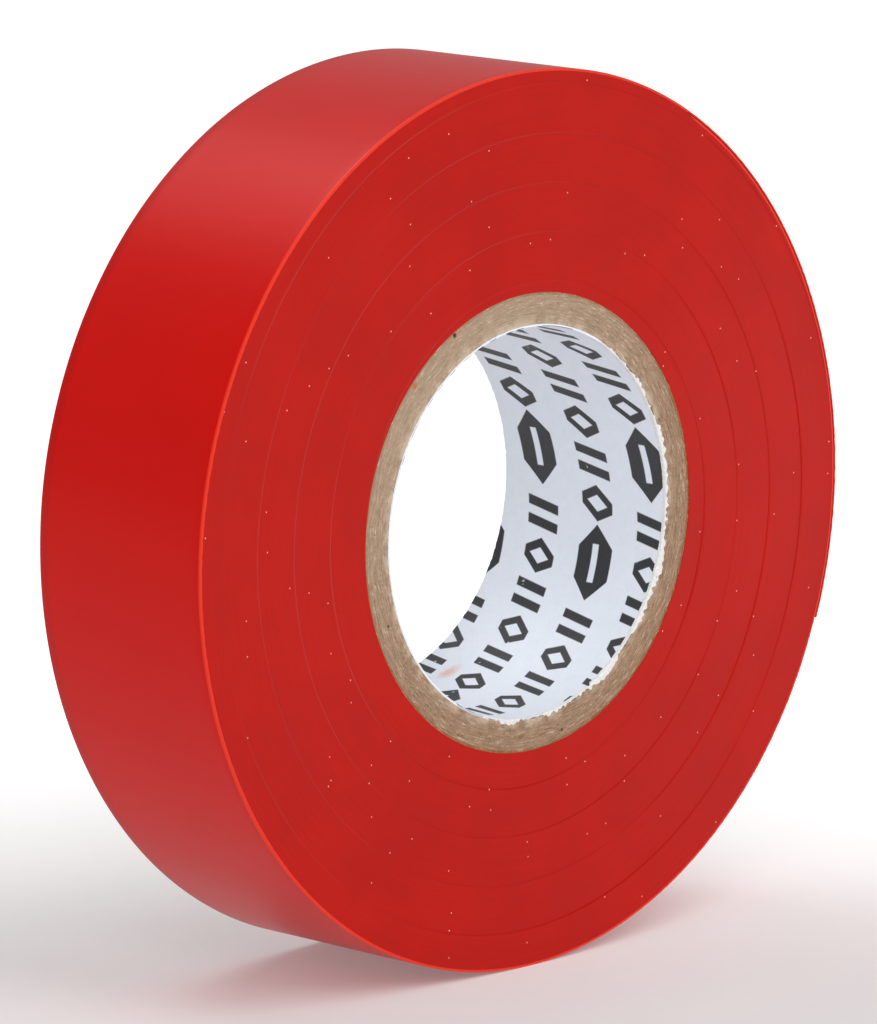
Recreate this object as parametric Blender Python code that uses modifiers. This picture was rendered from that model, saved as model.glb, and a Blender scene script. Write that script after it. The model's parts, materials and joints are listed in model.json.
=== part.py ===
"""Electrical tape roll: PVC tape wound on a spiral-wound paperboard core, with a free end that peels up.

The pieces are modelled with the roll lying flat, its axis along Z and its front face up. The empty
roll_axis then turns the whole roll upright, so that the axis lies along the world's Y and the front
face looks towards -Y. Lengths are in metres and angles in degrees, counted anticlockwise as the
front face is seen.
"""

import math

import bpy
from mathutils import Matrix, Vector

# Driving dimensions
TAPE_WIDTH = 0.019
ROLL_RADIUS = 0.038
CORE_RADIUS = 0.0193
BORE_RADIUS = 0.0165

# Tape
TAPE_THICKNESS = 0.00018
LAYER_GAP = 0.00005
TURN_PITCH = TAPE_THICKNESS + LAYER_GAP
END_CLEARANCE = 0.0001
TURN_FACETS = 144

# Free end: the outermost turn ends at TIP_ANGLE, and it peels back as far as ROOT_ANGLE
TIP_ANGLE = -20.0
TAIL_SEGMENTS = 8
SEGMENT_ANGLE = 10.0
PEEL_ANGLE = TAIL_SEGMENTS * SEGMENT_ANGLE
ROOT_ANGLE = TIP_ANGLE + PEEL_ANGLE

# Core: a printed liner, plies of grey-brown board and one outer ply of kraft paper
BOARD_PLIES = 6
LINER_THICKNESS = 0.00015
KRAFT_THICKNESS = 0.00015
GLUE_LINE = 0.00005
CORE_WIDTH = TAPE_WIDTH - 0.0001
CORE_FACETS = 72
BOARD_THICKNESS = (
    CORE_RADIUS - BORE_RADIUS - LINER_THICKNESS - KRAFT_THICKNESS - (BOARD_PLIES + 1) * GLUE_LINE
) / BOARD_PLIES

# Each ply is a strip wound on a slant, so its two edges meet in a seam that leans off the axis
SEAM_LEAN = 31.0
SEAM_GAP = 0.0003
LINER_SEAM_GAP = 0.00015
LINER_SEAM_ANGLE = -90.0
SEAM_STAGGER = 50.0

# The slabs that cut the seams reach past both ends of the core and well through a ply's wall
SEAM_CUT_LENGTH = 2 * TAPE_WIDTH
SEAM_CUT_DEPTH = CORE_RADIUS / 3

SCREW_MERGE = 0.00001

# Colours as (red, green, blue, roughness)
TAPE_RED = (0.60, 0.015, 0.008, 0.32)
LINER_WHITE = (0.80, 0.84, 0.90, 0.35)
BOARD_BROWN = (0.36, 0.23, 0.14, 0.90)
BOARD_GREY_BROWN = (0.31, 0.21, 0.14, 0.90)
KRAFT_TAN = (0.42, 0.22, 0.09, 0.80)


def clear_scene():
    for obj in list(bpy.data.objects):
        bpy.data.objects.remove(obj)


def new_collection(name):
    collection = bpy.data.collections.new(name)
    bpy.context.scene.collection.children.link(collection)
    return collection


def new_material(name, finish):
    red, green, blue, roughness = finish
    material = bpy.data.materials.new(name)
    material.use_nodes = True
    shader = material.node_tree.nodes["Principled BSDF"]
    shader.inputs["Base Color"].default_value = (red, green, blue, 1.0)
    shader.inputs["Roughness"].default_value = roughness
    shader.inputs["Metallic"].default_value = 0.0
    return material


def new_empty(name, collection, parent=None, location=(0.0, 0.0, 0.0)):
    empty = bpy.data.objects.new(name, None)
    empty.empty_display_size = TAPE_WIDTH / 2
    empty.location = location
    empty.parent = parent
    collection.objects.link(empty)
    return empty


def new_object(name, data, collection, parent, material):
    data.materials.append(material)
    obj = bpy.data.objects.new(name, data)
    obj.parent = parent
    collection.objects.link(obj)
    return obj


def polar(radius, angle):
    """The point at this radius and angle, on the plane halfway between the roll's two faces."""
    turned = math.radians(angle)
    return Vector((radius * math.cos(turned), radius * math.sin(turned), 0.0))


def outer_radius(wound):
    """The outermost turn's outer radius, wound degrees after its start, which lies under the tip.

    It grows by one turn's pitch over the turn, so the tip stands one tape thickness proud.
    """
    return ROLL_RADIUS - TURN_PITCH * (1.0 - wound / 360.0)


def on_turn(wound, depth=0.0):
    """A point on the outermost turn, which winds clockwise from the tip's angle."""
    return polar(outer_radius(wound) - depth, TIP_ANGLE - wound)


def facet_angles(start, end):
    """The start, the end and every facet's corner between them, in degrees wound."""
    step = 360.0 / TURN_FACETS
    first = math.floor(start / step) + 1
    last = math.ceil(end / step)
    return [start] + [corner * step for corner in range(first, last)] + [end]


# ---- Tape ----


def tape_strip(name, start, end, collection, parent, material, origin=None):
    """A length of tape: a sheet that follows the outermost turn, given its thickness inwards."""
    origin = origin or Vector((0.0, 0.0, 0.0))
    route = [on_turn(wound) - origin for wound in facet_angles(start, end)]
    half = Vector((0.0, 0.0, TAPE_WIDTH / 2))
    corners = [point - half for point in route] + [point + half for point in route]
    count = len(route)
    faces = [(i + 1, i, i + count, i + count + 1) for i in range(count - 1)]
    mesh = bpy.data.meshes.new(name)
    mesh.from_pydata(corners, [], faces)
    mesh.shade_smooth()
    strip = new_object(name, mesh, collection, parent, material)
    film = strip.modifiers.new("film_thickness", "SOLIDIFY")
    film.thickness = TAPE_THICKNESS
    film.offset = -1.0
    film.use_even_offset = True
    return strip


def flat_ring(name, outlines, width, collection, parent, material):
    """A flat outline and the outline of its hole, extruded evenly to both sides."""
    curve = bpy.data.curves.new(name, "CURVE")
    curve.dimensions = "2D"
    curve.fill_mode = "BOTH"
    curve.extrude = width / 2
    for outline in outlines:
        spline = curve.splines.new("POLY")
        spline.points.add(len(outline) - 1)
        for point, place in zip(spline.points, outline):
            point.co = (place.x, place.y, 0.0, 1.0)
        spline.use_cyclic_u = True
        spline.use_smooth = True
    return new_object(name, curve, collection, parent, material)


def make_wound_tape(collection, parent, material):
    """All the turns under the outermost one, bonded by their adhesive into one ring.

    Its outside steps up by one pitch at the tip's angle, where its last turn becomes the outermost.
    """
    step = 360.0 / TURN_FACETS
    outside = [on_turn(corner * step, TURN_PITCH) for corner in range(TURN_FACETS + 1)]
    inside = [polar(CORE_RADIUS + LAYER_GAP, TIP_ANGLE - corner * step) for corner in range(TURN_FACETS)]
    return flat_ring("wound_tape", [outside, inside], TAPE_WIDTH, collection, parent, material)


def degrees_of(length):
    """The angle that this length takes up along the outside of the roll."""
    return math.degrees(length / ROLL_RADIUS)


def make_outer_turn(collection, parent, material):
    """The outermost turn, from its start under the tip round to the root of the free end."""
    clear = degrees_of(END_CLEARANCE)
    end = 360.0 - PEEL_ANGLE - clear / 2
    return tape_strip("outer_turn", clear, end, collection, parent, material)


def make_tail(collection, parent, material):
    """The free end, cut into short lengths that hinge at their outer edges.

    Each length hangs from an empty on its hinge, and each hinge from the one before it.
    """
    clear = degrees_of(END_CLEARANCE)
    placed = Vector((0.0, 0.0, 0.0))
    for number in range(1, TAIL_SEGMENTS + 1):
        start = 360.0 - PEEL_ANGLE + (number - 1) * SEGMENT_ANGLE
        hinge_place = on_turn(start)
        hinge = new_empty(f"peel_{number}_hinge", collection, parent, hinge_place - placed)
        tape_strip(
            f"tail_{number}",
            start + clear / 2,
            start + SEGMENT_ANGLE - clear / 2,
            collection,
            hinge,
            material,
            origin=hinge_place,
        )
        parent = hinge
        placed = hinge_place


# ---- Core ----


def tube(name, inner, outer, collection, parent, material):
    """A tube turned from its wall's section, which runs down the outside and back up the inside."""
    half = CORE_WIDTH / 2
    section = [(outer, 0.0, half), (outer, 0.0, -half), (inner, 0.0, -half), (inner, 0.0, half)]
    mesh = bpy.data.meshes.new(name)
    mesh.from_pydata(section, [(0, 1), (1, 2), (2, 3), (3, 0)], [])
    ring = new_object(name, mesh, collection, parent, material)
    turned = ring.modifiers.new("turned", "SCREW")
    turned.steps = CORE_FACETS
    turned.render_steps = CORE_FACETS
    turned.use_merge_vertices = True
    turned.merge_threshold = SCREW_MERGE
    turned.use_smooth_shade = True
    return ring


def seam_cutter(name, radius, angle, gap, collection, parent):
    """A thin slab through the wall at this angle, leaning off the axis by the plies' winding angle."""
    bpy.ops.mesh.primitive_cube_add(size=1.0)
    slab = bpy.context.object
    slab.name = name
    for owner in list(slab.users_collection):
        owner.objects.unlink(slab)
    collection.objects.link(slab)
    turned = math.radians(angle)
    outward = Vector((math.cos(turned), math.sin(turned), 0.0))
    around = Vector((-math.sin(turned), math.cos(turned), 0.0))
    lean = math.radians(SEAM_LEAN)
    along = Vector((0.0, 0.0, math.cos(lean))) - around * math.sin(lean)
    across = outward.cross(along)
    slab.data.transform(Matrix.Diagonal((gap, SEAM_CUT_LENGTH, SEAM_CUT_DEPTH, 1.0)))
    turn = Matrix((across, along, outward)).transposed().to_4x4()
    slab.matrix_local = Matrix.Translation(outward * radius) @ turn
    slab.parent = parent
    slab.hide_render = True
    slab.display_type = "WIRE"
    return slab


def make_ply(name, inner, thickness, seam_angle, gap, collections, parent, material):
    """One spiral-wound ply of the core: a thin tube, open along its leaning butt seam."""
    parts, cutters = collections
    ply = tube(name, inner, inner + thickness, parts, parent, material)
    slab = seam_cutter(f"{name}_seam", inner, seam_angle, gap, cutters, parent)
    seam = ply.modifiers.new("butt_seam", "BOOLEAN")
    seam.operation = "DIFFERENCE"
    seam.solver = "EXACT"
    seam.object = slab
    return ply


def make_core(collections, parent, materials):
    """The liner, the board plies and the kraft ply, each a glue line outside the one before."""
    inner = BORE_RADIUS
    angle, finish = LINER_SEAM_ANGLE, materials["liner"]
    make_ply("core_liner", inner, LINER_THICKNESS, angle, LINER_SEAM_GAP, collections, parent, finish)
    inner += LINER_THICKNESS + GLUE_LINE
    for number in range(1, BOARD_PLIES + 1):
        finish = materials["board"] if number % 2 else materials["board_grey"]
        angle = LINER_SEAM_ANGLE + number * SEAM_STAGGER
        make_ply(f"board_ply_{number}", inner, BOARD_THICKNESS, angle, SEAM_GAP, collections, parent, finish)
        inner += BOARD_THICKNESS + GLUE_LINE
    angle = LINER_SEAM_ANGLE + (BOARD_PLIES + 1) * SEAM_STAGGER
    finish = materials["kraft"]
    make_ply("kraft_outer_ply", inner, KRAFT_THICKNESS, angle, SEAM_GAP, collections, parent, finish)


def main():
    clear_scene()
    parts = new_collection("electrical_tape_roll")
    cutters = new_collection("cutters")
    roll_axis = new_empty("roll_axis", parts)
    roll_axis.rotation_euler = (math.radians(90.0), 0.0, 0.0)
    tape = new_material("red_pvc_film", TAPE_RED)
    materials = {
        "liner": new_material("coated_white_paper", LINER_WHITE),
        "board": new_material("brown_chipboard", BOARD_BROWN),
        "board_grey": new_material("grey_brown_chipboard", BOARD_GREY_BROWN),
        "kraft": new_material("tan_kraft_paper", KRAFT_TAN),
    }
    make_core((parts, cutters), roll_axis, materials)
    make_wound_tape(parts, roll_axis, tape)
    make_outer_turn(parts, roll_axis, tape)
    make_tail(parts, roll_axis, tape)


main()
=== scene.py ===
"""Electrical tape roll: the finished surfaces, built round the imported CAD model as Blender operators.

Lengths are in metres. A place on the roll is its radius, its angle round the axis and y along the
axis: x = radius cos(angle), z = radius sin(angle), and the front face looks towards -Y. The tape winds
clockwise as the front is seen, so "wound" degrees count down from the angle of the tape's tip.
"""

import json
import math

import bpy
import numpy as np
from bpy.props import FloatProperty, FloatVectorProperty, PointerProperty
from bpy.types import Operator, Panel, PropertyGroup
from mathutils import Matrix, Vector


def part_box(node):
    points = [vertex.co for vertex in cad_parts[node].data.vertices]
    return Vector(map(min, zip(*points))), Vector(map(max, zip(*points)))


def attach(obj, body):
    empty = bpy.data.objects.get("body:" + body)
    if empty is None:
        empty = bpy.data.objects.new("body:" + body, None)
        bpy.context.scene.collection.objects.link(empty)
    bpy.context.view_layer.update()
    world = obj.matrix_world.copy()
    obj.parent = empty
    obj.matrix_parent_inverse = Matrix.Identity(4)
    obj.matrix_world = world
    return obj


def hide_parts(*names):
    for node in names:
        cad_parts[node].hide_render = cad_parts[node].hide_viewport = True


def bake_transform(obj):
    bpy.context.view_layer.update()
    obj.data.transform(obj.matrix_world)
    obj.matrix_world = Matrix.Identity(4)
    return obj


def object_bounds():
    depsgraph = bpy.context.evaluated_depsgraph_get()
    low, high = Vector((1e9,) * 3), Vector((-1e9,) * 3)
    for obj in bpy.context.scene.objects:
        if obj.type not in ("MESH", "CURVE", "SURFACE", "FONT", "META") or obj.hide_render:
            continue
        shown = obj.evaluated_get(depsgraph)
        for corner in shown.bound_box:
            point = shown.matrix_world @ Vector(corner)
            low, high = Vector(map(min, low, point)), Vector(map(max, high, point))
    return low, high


bl_info = {
    "name": "Electrical Tape Roll",
    "version": (1, 0, 0),
    "blender": (4, 5, 0),
    "location": "View3D > Sidebar > Tape Roll",
    "description": "Builds a roll of red PVC tape on its paperboard core, with a free end that peels",
    "category": "Add Mesh",
}

MM = 0.001

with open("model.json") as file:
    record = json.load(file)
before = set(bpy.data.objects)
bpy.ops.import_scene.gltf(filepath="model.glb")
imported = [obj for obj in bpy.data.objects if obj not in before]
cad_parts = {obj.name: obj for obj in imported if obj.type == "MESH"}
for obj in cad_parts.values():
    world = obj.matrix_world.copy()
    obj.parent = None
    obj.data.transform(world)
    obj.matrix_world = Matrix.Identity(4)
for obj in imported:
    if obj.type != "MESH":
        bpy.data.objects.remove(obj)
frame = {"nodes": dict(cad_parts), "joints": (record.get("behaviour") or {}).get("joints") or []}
CAD_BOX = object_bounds()


# ---- Sizes that the CAD model gives ----


def node_reach(node):
    """The least and the greatest distance of a CAD node's corners from the roll's axis."""
    mesh = frame["nodes"][node].data
    corners = np.empty(3 * len(mesh.vertices), np.float32)
    mesh.vertices.foreach_get("co", corners)
    radii = np.hypot(corners[0::3], corners[2::3])
    return float(radii.min()), float(radii.max())


def hinge_angle(joint):
    """The angle round the axis at which a hinge of the free end lies, in degrees."""
    x, _, z = joint["pos_m"]
    return math.degrees(math.atan2(z, x))


BOARD_PLIES = sorted(name for name in frame["nodes"] if name.startswith("board_ply_"))
TAILS = sorted(name for name in frame["nodes"] if name.startswith("tail_"))
ROOT_ANGLE = hinge_angle(frame["joints"][0])
SEGMENT = ROOT_ANGLE - hinge_angle(frame["joints"][1])
PEEL_ARC = SEGMENT * len(TAILS)
TIP_ANGLE = ROOT_ANGLE - PEEL_ARC

HALF_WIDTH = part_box("wound_tape")[1].y
CORE_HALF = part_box(BOARD_PLIES[0])[1].y
WINDING_INNER = node_reach("wound_tape")[0]
BORE, LINER_OUTER = node_reach("core_liner")
KRAFT_OUTER = node_reach("kraft_outer_ply")[1]
ROLL_RADIUS = node_reach(TAILS[-1])[1]
TURN_PITCH = (ROLL_RADIUS - node_reach("outer_turn")[1]) * 360.0 / PEEL_ARC
GLUE_LINE = node_reach(BOARD_PLIES[0])[0] - LINER_OUTER
FLOOR_LEVEL = CAD_BOX[0].z


# ---- Settings ----


def red_green_blue(code):
    """A colour's sRGB hex code as the linear values that Blender's shaders take."""
    parts = np.array([int(code[i : i + 2], 16) for i in (1, 3, 5)]) / 255.0
    return tuple(np.where(parts <= 0.04045, parts / 12.92, ((parts + 0.055) / 1.055) ** 2.4))


def length(name, about, default, **more):
    return FloatProperty(name=name, description=about, default=default, unit="LENGTH", precision=5, **more)


def colour(name, about, code):
    return FloatVectorProperty(
        name=name, description=about, default=red_green_blue(code), subtype="COLOR", min=0.0, max=1.0
    )


class TapeSettings(PropertyGroup):
    film_thickness: length("Film", "Film and adhesive together", 0.18 * MM)
    edge_rounding: length("Edge rounding", "Radius of the slit film's outer corners", 0.09 * MM)
    edge_raggedness: length("Raggedness", "How far the knife left the outermost edge short", 0.05 * MM)
    film_waves: length("Waves", "Depth of the slack in the outermost turn", 0.02 * MM)
    knife_pitch: length("Knife pitch", "How far the slitting knife fed in with each turn", 4.1 * MM)
    knife_start: length("Knife start", "Radius at which the first knife mark crosses the +X side", 37.7 * MM)
    knife_step: length("Knife step", "Height of the step that the knife leaves at each mark", 0.04 * MM)
    face_waves: length("Face waves", "Depth of the slit face's slow unevenness", 0.02 * MM)
    film_red: colour("Film", "Outer side of the film", "#C60802")
    face_red: colour("Slit face", "Cut edges of the turns", "#BC0B02")
    # The front edge's lighter colour: partly the thin film's own colour, partly a painted highlight.
    edge_red_and_highlight: colour("Edge", "Thin edge of the outermost turn", "#E83A28")
    adhesive_red: colour("Adhesive", "Inner side of the film, seen through its adhesive", "#A01A14")


class CoreSettings(PropertyGroup):
    end_relief: length("End relief", "Depth of the fibres torn up at the core's cut ends", 0.07 * MM)
    lap_step: length("Lap step", "Height of the liner's lapped edge", 0.06 * MM)
    lap_lean: FloatProperty(
        name="Lap lean",
        description="Angle between the liner's seam and the axis",
        default=math.radians(31.0),
        subtype="ANGLE",
    )
    lap_angle: FloatProperty(
        name="Lap angle",
        description="Where the liner's seam crosses the middle of the bore",
        default=math.radians(-90.0),
        subtype="ANGLE",
    )
    fray: length("Fray", "How far the torn liner spreads over the core's end", 0.55 * MM)
    board_brown: colour("Board", "Bare recycled board", "#A6866A")
    board_dark: colour("Board, dark fibres", "The darker fibres and the glue lines", "#755A48")
    board_light: colour("Board, pale fibres", "The paler fibres", "#DDCCB6")
    kraft_brown: colour("Kraft", "The outer ply of kraft paper", "#9A6A3C")
    paper_white: colour("Paper", "Coated liner paper", "#F1F6FF")
    ink_black: colour("Ink", "The liner's print", "#0D0B0E")
    torn_grey: colour("Torn paper, shaded", "Between the fibres of the torn paper", "#D0CDCB")
    torn_white: colour("Torn paper", "The fibres of the torn paper", "#FFFFFF")
    lap_grey: colour("Lap", "The grey band where the liner is doubled", "#A9B4C4")
    smear_salmon: colour("Smear", "Glue and dye that seeped through at the lap", "#EBB7A2")


class StageSettings(PropertyGroup):
    floor_size: length("Floor", "Side of the square floor", 12.0)
    floor_white: colour("Floor colour", "The pale floor", "#E2E2E2")
    camera_distance: length("Camera distance", "From the lens to the point it aims at", 0.6499)
    camera_aim: FloatVectorProperty(
        name="Camera aim",
        description="The point that the camera aims at",
        default=(-0.00131, 0.0, -0.0001),
        subtype="TRANSLATION",
        precision=5,
    )
    camera_lens: FloatProperty(name="Lens", description="Focal length in millimetres", default=272.5)
    azimuth: FloatProperty(
        name="Azimuth",
        description="How far round to the left of the front face the camera stands",
        default=math.radians(45.26),
        subtype="ANGLE",
    )
    elevation: FloatProperty(
        name="Elevation",
        description="How far the camera looks down",
        default=math.radians(10.37),
        subtype="ANGLE",
    )
    floor_glow: FloatProperty(name="Floor glow", description="Light shining through the floor", default=0.55)
    glow_near: FloatProperty(name="Near glow", description="Its strength in front of the roll", default=0.12)
    glow_start: length("Glow start", "How far behind the roll the floor begins to brighten", -0.03)
    glow_full: length("Glow full", "How far behind the roll it glows fully", 0.1)
    sky: FloatProperty(name="Sky", description="Brightness of the white studio all round", default=0.4)


# name, degrees to the left of the front, degrees up, (width, height) in metres, power in watts
SOFTBOXES = (
    ("front_softbox", 0.0, 48.0, (0.55, 1.1), 5.2),
    ("left_softbox", 45.0, 22.0, (0.55, 1.1), 5.7),
    ("back_softbox", 177.0, 58.0, (0.55, 0.55), 2.2),
)
SOFTBOX_DISTANCE = 1.2


# ---- Shapes ----


def outer_radius(wound):
    """The outermost turn's outside: it grows by one turn's pitch over 360 degrees, up to the tip."""
    return ROLL_RADIUS - TURN_PITCH * (1.0 - wound / 360.0)


def round_angle(wound):
    """The angle round the axis, in radians, at so many degrees wound."""
    return np.radians(TIP_ANGLE - wound)


def place(radius, angle, y):
    """Points from radius, angle and y, each an array or a number: x = r cos a, z = r sin a."""
    radius, angle, y = np.broadcast_arrays(radius, angle, y)
    return np.stack([radius * np.cos(angle), y, radius * np.sin(angle)], axis=-1)


def ripple(seed, around, along, laps, runs, waves=24):
    """Unevenness of about -1 to 1 on a surface: the sum of cosine waves, over the root of their number.

    Each wave goes a whole number of laps round the roll, so that it closes on itself, and runs so many
    radians per metre the other way. Its phase is random.
    """
    random = np.random.default_rng(seed)
    turns = random.integers(laps[0], laps[1], waves)
    slopes = random.uniform(-runs, runs, waves)
    phases = random.uniform(0.0, 2.0 * np.pi, waves)
    around, along = np.broadcast_arrays(around, along)
    total = np.zeros(around.shape)
    for turn, slope, phase in zip(turns, slopes, phases):
        total += np.cos(around * turn + along * slope + phase)
    return total / math.sqrt(waves)


def smooth(share):
    """Eases from 0 to 1 as share does: 3s^2 - 2s^3."""
    share = np.clip(share, 0.0, 1.0)
    return share * share * (3.0 - 2.0 * share)


def swept_faces(columns, loop, ring):
    """Quads between the neighbouring sections of a closed outline that is swept along a path.

    A ring's last section joins its first. An open sweep is capped at both ends, where each point of the
    outline's first half is joined to its partner in the second half.
    """
    column = np.arange(columns if ring else columns - 1)[:, None]
    row = np.arange(loop)[None, :]
    after, above = (column + 1) % columns, (row + 1) % loop
    quads = [column * loop + row, after * loop + row, after * loop + above, column * loop + above]
    quads = np.stack(quads, axis=-1).reshape(-1, 4)
    if not ring:
        half = np.arange(loop // 2 - 1)
        cap = np.stack([half, half + 1, loop - 2 - half, loop - 1 - half], axis=-1)
        quads = np.concatenate([quads, cap, cap[:, ::-1] + (columns - 1) * loop])
    return quads


def volume(points, faces):
    """The volume inside closed faces, below 0 if they face inwards: a sixth of the sum of a . (b x c)."""
    first = points[faces[:, 0]]
    total = 0.0
    for corner in range(1, faces.shape[1] - 1):
        second, third = points[faces[:, corner]], points[faces[:, corner + 1]]
        total += np.einsum("ij,ij->", first, np.cross(second, third))
    return total / 6.0


def weld(points, faces):
    """Gives corners on the same place one vertex, cuts quads into triangles and drops those without area."""
    keys = np.round(points / (0.0001 * MM)).astype(np.int64)
    _, kept, index = np.unique(keys, axis=0, return_index=True, return_inverse=True)
    faces = index.reshape(-1)[faces]
    faces = np.concatenate([faces[:, [0, 1, 2]], faces[:, [0, 2, 3]]])
    a, b, c = faces.T
    return points[kept], faces[(a != b) & (b != c) & (c != a)]


def new_piece(name, points, faces, materials, slots=None, sheet=None, sharp=40.0):
    """A closed mesh object with its faces outwards.

    slots is each face's material number, and sheet is each point's place on the flat paper, in metres,
    which becomes the UV map in millimetres. A face that closes the ring takes the sheet on past its end.
    """
    points = points.reshape(-1, 3)
    if volume(points, faces) < 0.0:
        faces = faces[:, ::-1]
    mesh = bpy.data.meshes.new(name)
    mesh.from_pydata(points.tolist(), [], faces.tolist())
    for material in materials:
        mesh.materials.append(material)
    if slots is not None:
        mesh.polygons.foreach_set("material_index", slots.astype(np.int32))
    if sheet is not None:
        flat = sheet.reshape(-1, 2)[faces] / MM
        girth = np.ptp(sheet[..., 0]) / MM
        behind = flat[..., 0] < flat[..., 0].max(axis=1, keepdims=True) - girth / 2.0
        flat[..., 0] += np.where(behind, 2.0 * np.pi * BORE / MM, 0.0)
        layer = mesh.uv_layers.new(name="flat_paper")
        layer.data.foreach_set("uv", flat.reshape(-1).astype(np.float32))
    mesh.shade_smooth()
    mesh.set_sharp_from_angle(angle=math.radians(sharp))
    piece = bpy.data.objects.new(name, mesh)
    bpy.context.scene.collection.objects.link(piece)
    return piece


# ---- Tape ----


def film_waves(wound, y, settings):
    """The slack in the outermost turn, a small depth that changes slowly along and across the tape."""
    uneven = ripple(11, np.radians(wound), y, (2, 26), 250.0)
    return settings.film_waves * (0.5 + 0.35 * np.clip(uneven, -1.4, 1.4))


def film_strip(name, start, end, columns, settings, materials, taper=0.0):
    """A length of the outermost turn: the film's section swept along the spiral.

    The section runs from front to back along the outside, with rounded corners, and home along the
    inside. Its radius is the spiral's, less the section's depth and the slack. With taper the film
    thins to nothing over its first degrees, where it tucks under the free end.
    """
    half, corner = HALF_WIDTH, settings.edge_rounding
    turned = np.radians(np.linspace(90.0, 0.0, 6))
    rounding_y = half - corner * (1.0 - np.sin(turned))
    rounding_depth = corner * (1.0 - np.cos(turned))
    middle = np.linspace(-half + corner, half - corner, 20)[1:-1]
    across = np.concatenate([-rounding_y, middle, rounding_y[::-1]])
    depth = np.concatenate([rounding_depth, 0.0 * middle, rounding_depth[::-1]])
    wound = np.linspace(start, end, columns)[:, None]
    thickness = settings.film_thickness
    if taper:
        to_turn_below = TURN_PITCH - 0.005 * MM
        thickness = to_turn_below * smooth((wound - start) / taper) + 0.005 * MM
    ragged = 0.5 + 0.35 * ripple(12, np.radians(wound), 0.0, (30, 700), 0.0, 60)
    short = settings.edge_raggedness * np.clip(ragged, 0.0, 1.2)
    outer_y = across + short * np.clip(-across / half, 0.0, 1.0) ** 16
    slack = film_waves(wound, across, settings)
    outside = outer_radius(wound) - np.minimum(depth, thickness) - slack
    inside = outer_radius(wound) - thickness - slack * (0.0 if taper else 1.0) + 0.0 * across
    radius = np.concatenate([outside, inside[:, ::-1]], axis=1)
    y = np.concatenate([outer_y, outer_y[:, ::-1]], axis=1)
    loop = radius.shape[1]
    faces = swept_faces(columns, loop, ring=False)
    slots = None
    if len(materials) > 1:
        row = faces[: (columns - 1) * loop, 0] % loop
        inner_side = (row >= loop // 2) & (row < loop - 1)
        slots = np.concatenate([inner_side, np.zeros(len(faces) - len(row), bool)])
    return new_piece(name, place(radius, round_angle(wound), y), faces, materials, slots)


def under_outer_turn(wound):
    """The outside of the turns below: one pitch inside the spiral, eased back at the free end's root."""
    start = -PEEL_ARC
    step_back = smooth((wound - start) / 2.0)
    return outer_radius(wound) - TURN_PITCH + TURN_PITCH * (1.0 - step_back)


def face_depth(radius, angle, settings, seed):
    """How far the slit face lies inside the tape's width at this radius and angle.

    The knife fed inwards as the roll turned, so its mark is a spiral: u is the distance inwards from the
    mark, in pitches. Across one pitch the face climbs evenly, and at the mark it steps back down.
    """
    u = (settings.knife_start - radius) / settings.knife_pitch - angle / (2.0 * np.pi)
    u = u - np.floor(u)
    along = ripple(seed, angle, radius, (1, 7), 900.0, 8)
    step = settings.knife_step * np.clip(0.65 + 0.4 * along, 0.15, 1.0)
    saw = np.where(u < STEP_SHARE, smooth(u / STEP_SHARE), 1.0 - (u - STEP_SHARE) / (1.0 - STEP_SHARE))
    waves = ripple(seed + 1, angle, radius, (1, 9), 260.0, 16)
    return step * saw + settings.face_waves * (0.5 + 0.4 * np.clip(waves, -1.2, 1.2))


STEP_SHARE = 0.03
FACE_ROWS = np.array(
    [0.0, 0.0075, 0.015, 0.0225, 0.03, 0.036, 0.05, 0.1, 0.2, 0.35, 0.5, 0.65, 0.8, 0.9, 0.96]
)


def slit_face(side, settings, columns, seed):
    """One face of the wound turns as a polar grid whose rows follow the knife's spiral.

    After a whole turn each row lies where the row one pitch further in began, so the grid closes on
    itself. Rows that pass the inner or the outer edge are held on it, and weld drops what collapses.
    """
    angle = np.linspace(0.0, 2.0 * np.pi, columns + 1)[:, None]
    pitches = np.arange(-1, math.ceil((ROLL_RADIUS - WINDING_INNER) / settings.knife_pitch) + 1)
    u = (pitches[:, None] + FACE_ROWS[None, :]).reshape(1, -1)
    radius = settings.knife_start - settings.knife_pitch * (u + angle / (2.0 * np.pi))
    wound = np.mod(math.degrees(1.0) * -angle + TIP_ANGLE + PEEL_ARC, 360.0) - PEEL_ARC
    rim = under_outer_turn(wound)
    inner = WINDING_INNER - 0.5 * GLUE_LINE
    radius = np.where(radius > rim - 0.03 * MM, rim, radius)
    radius = np.where(radius < inner + 0.03 * MM, inner, radius)
    y = side * (HALF_WIDTH - face_depth(radius, angle, settings, seed))
    return place(radius, angle, y)


def make_wound_tape(settings, material):
    """The bonded turns as one closed solid: two slit faces, joined by an outer and an inner wall."""
    columns = 480
    parts, faces, count = [], [], 0
    front = slit_face(-1.0, settings, columns, 21)
    back = slit_face(1.0, settings, columns, 31)
    edges = [np.stack([front[:, row], back[:, row]], axis=1) for row in (0, -1)]
    for grid, flipped in ((front, False), (back, True), (edges[0], True), (edges[1], False)):
        rows = grid.shape[1]
        quads = swept_faces(len(grid), rows, ring=False)[: (len(grid) - 1) * rows]
        quads = quads[quads[:, 0] % rows < rows - 1]
        faces.append((quads[:, ::-1] if flipped else quads) + count)
        parts.append(grid.reshape(-1, 3))
        count += len(parts[-1])
    points, triangles = weld(np.concatenate(parts), np.concatenate(faces))
    return new_piece("wound_turns", points, triangles, [material], sharp=50.0)


# ---- Core ----


def ring(name, radius, angle, y, materials, sheet=None, sharp=40.0):
    """A closed ring from its section's points: arrays of radius and y, one row for each angle."""
    points = place(radius, angle, y)
    faces = swept_faces(len(points), points.shape[1], ring=True)
    return new_piece(name, points, faces, materials, sheet=sheet, sharp=sharp)


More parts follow.
